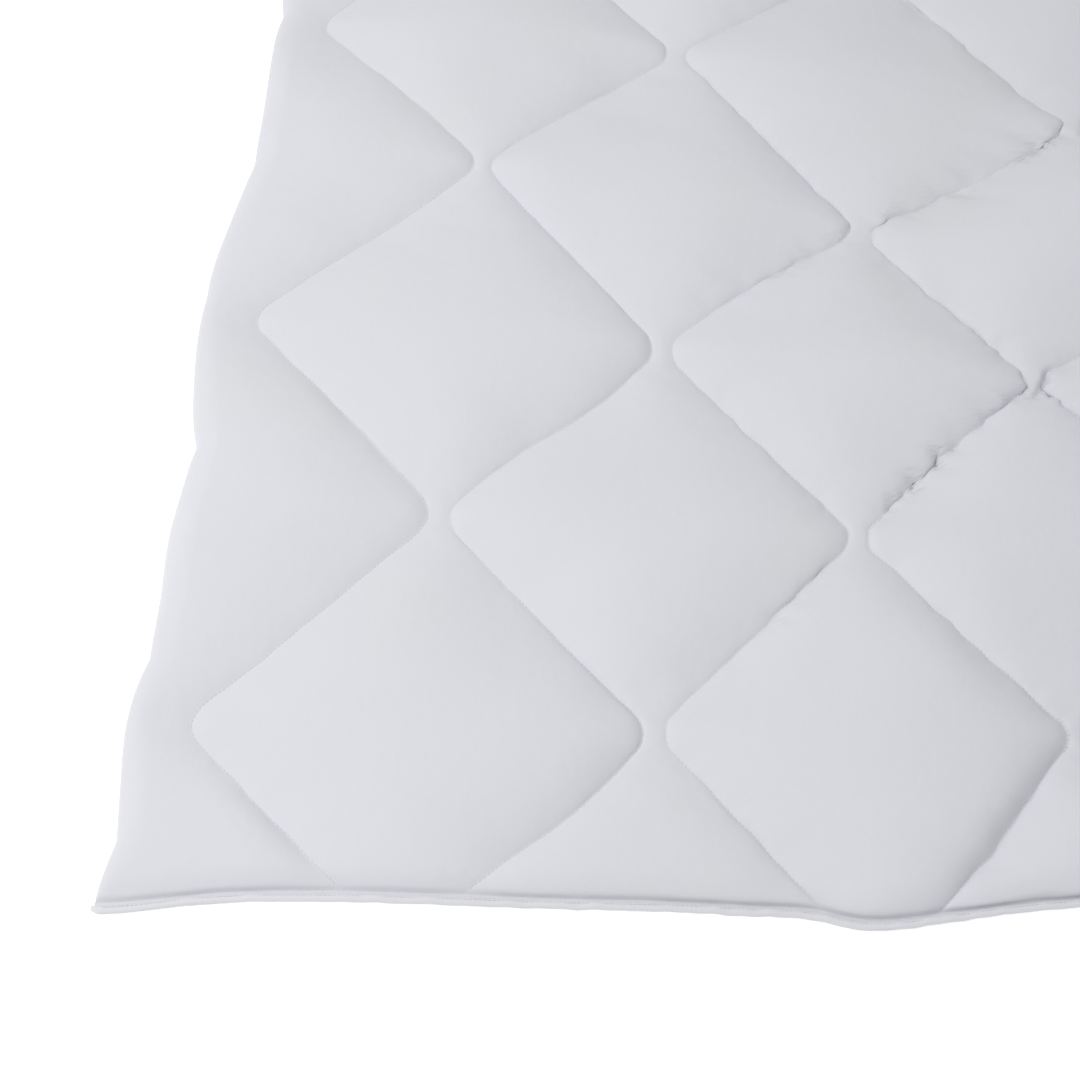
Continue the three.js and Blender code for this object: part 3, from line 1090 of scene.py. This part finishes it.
def cloth_material(name, colour, thread_pitch, crumple):
    """Matt woven cloth with a weave, a fine crumple and a slightly uneven colour."""
    material = bpy.data.materials.new(name)
    material.use_nodes = True
    tree = material.node_tree
    tree.nodes.clear()
    link = tree.links.new
    place = node(tree, "ShaderNodeTexCoord")
    shader = node(tree, "ShaderNodeBsdfPrincipled", Roughness=0.82)
    shader.inputs["Sheen Weight"].default_value = 0.25
    shader.inputs["Sheen Roughness"].default_value = 0.5
    shader.inputs["Specular IOR Level"].default_value = 0.25
    fine = node(tree, "ShaderNodeTexNoise", Scale=CRUMPLE_SCALE, Detail=4.0, Roughness=0.55)
    link(place.outputs["Object"], fine.inputs["Vector"])
    crumpled = node(tree, "ShaderNodeBump", Strength=1.0, Distance=crumple)
    link(fine.outputs["Fac"], crumpled.inputs["Height"])
    woven = node(tree, "ShaderNodeBump", Strength=0.35, Distance=WEAVE_DEPTH)
    link(weave(tree, place, thread_pitch).outputs[0], woven.inputs["Height"])
    link(crumpled.outputs["Normal"], woven.inputs["Normal"])
    link(woven.outputs["Normal"], shader.inputs["Normal"])
    link(tinted(tree, place, colour).outputs["Color"], shader.inputs["Base Color"])
    output = node(tree, "ShaderNodeOutputMaterial")
    link(shader.outputs["BSDF"], output.inputs["Surface"])
    return material


def make_floor():
    """The white floor that the duvet lies on."""
    size = FLOOR_HALF
    corners = [(-size, -size, 0), (size, -size, 0), (size, size, 0), (-size, size, 0)]
    floor = mesh_object("floor", corners, [[0, 1, 2, 3]])
    material = bpy.data.materials.new("floor_white")
    material.use_nodes = True
    shader = material.node_tree.nodes["Principled BSDF"]
    shader.inputs["Base Color"].default_value = FLOOR_COLOUR
    shader.inputs["Roughness"].default_value = 0.9
    shader.inputs["Specular IOR Level"].default_value = 0.0
    shader.inputs["Emission Color"].default_value = (1, 1, 1, 1)
    shader.inputs["Emission Strength"].default_value = FLOOR_GLOW
    floor.data.materials.append(material)


def make_lights():
    """Even surroundings and one soft light, as from a window at the left."""
    world = bpy.data.worlds.new("studio")
    world.use_nodes = True
    background = world.node_tree.nodes["Background"]
    background.inputs["Color"].default_value = WORLD_COLOUR
    background.inputs["Strength"].default_value = WORLD_STRENGTH
    bpy.context.scene.world = world
    data = bpy.data.lights.new("window", "AREA")
    data.size = WINDOW_SIZE
    data.energy = WINDOW_POWER
    light = bpy.data.objects.new("window", data)
    light.location = WINDOW_PLACE
    light.rotation_mode = "QUATERNION"
    light.rotation_quaternion = (Vector(WINDOW_TARGET) - Vector(WINDOW_PLACE)).to_track_quat("-Z", "Y")
    bpy.context.scene.collection.objects.link(light)


def make_camera():
    """The camera at the photograph's eye point."""
    level = math.cos(CAMERA_TILT)
    forward = Vector((math.sin(CAMERA_TURN) * level, math.cos(CAMERA_TURN) * level, -math.sin(CAMERA_TILT)))
    right = Vector((math.cos(CAMERA_TURN), -math.sin(CAMERA_TURN), 0))
    up = right.cross(forward)
    data = bpy.data.cameras.new("camera")
    data.sensor_width = CAMERA_SENSOR
    data.lens = CAMERA_LENS
    camera = bpy.data.objects.new("camera", data)
    turned = Matrix((right, up, -forward)).transposed().to_4x4()
    camera.matrix_world = Matrix.Translation(CAMERA_PLACE) @ turned
    bpy.context.scene.collection.objects.link(camera)
    bpy.context.scene.camera = camera


make_camera()
make_lights()
make_floor()
bpy.context.scene.view_settings.view_transform = "Standard"

shell = cloth_material("shell_cotton", *SHELL_CLOTH)
tape = cloth_material("binding_tape", *TAPE_CLOTH)
thread = cloth_material("thread_white", *THREAD_CLOTH)

# The quilted body
body, seam_points = make_body()
body.data.materials.append(shell)
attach(body, "root")
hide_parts("duvet_body")

# The two bindings
for name, front in (("binding_front", True), ("binding_back", False)):
    strip = make_binding("tape_" + name.split("_")[1], front)
    strip.data.materials.append(tape)
    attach(strip, "root")
    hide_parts(name)

# The thread of the quilting and of the hems
quilted_rows = slice(QUILTING_ROWS_OUT, -QUILTING_ROWS_OUT)
seam_paths = [seam_points[quilted_rows, line] + [0, 0, QUILTING_HEIGHT] for line in range(STITCH_LINES)]
quilting = stitches("quilting_thread", seam_paths, *QUILTING_STITCH)
quilting.data.materials.append(thread)
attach(quilting, "root")
hem_stitches = stitches("hem_thread", [hem_path(True), hem_path(False)], *HEM_STITCH)
hem_stitches.data.materials.append(thread)
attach(hem_stitches, "root")
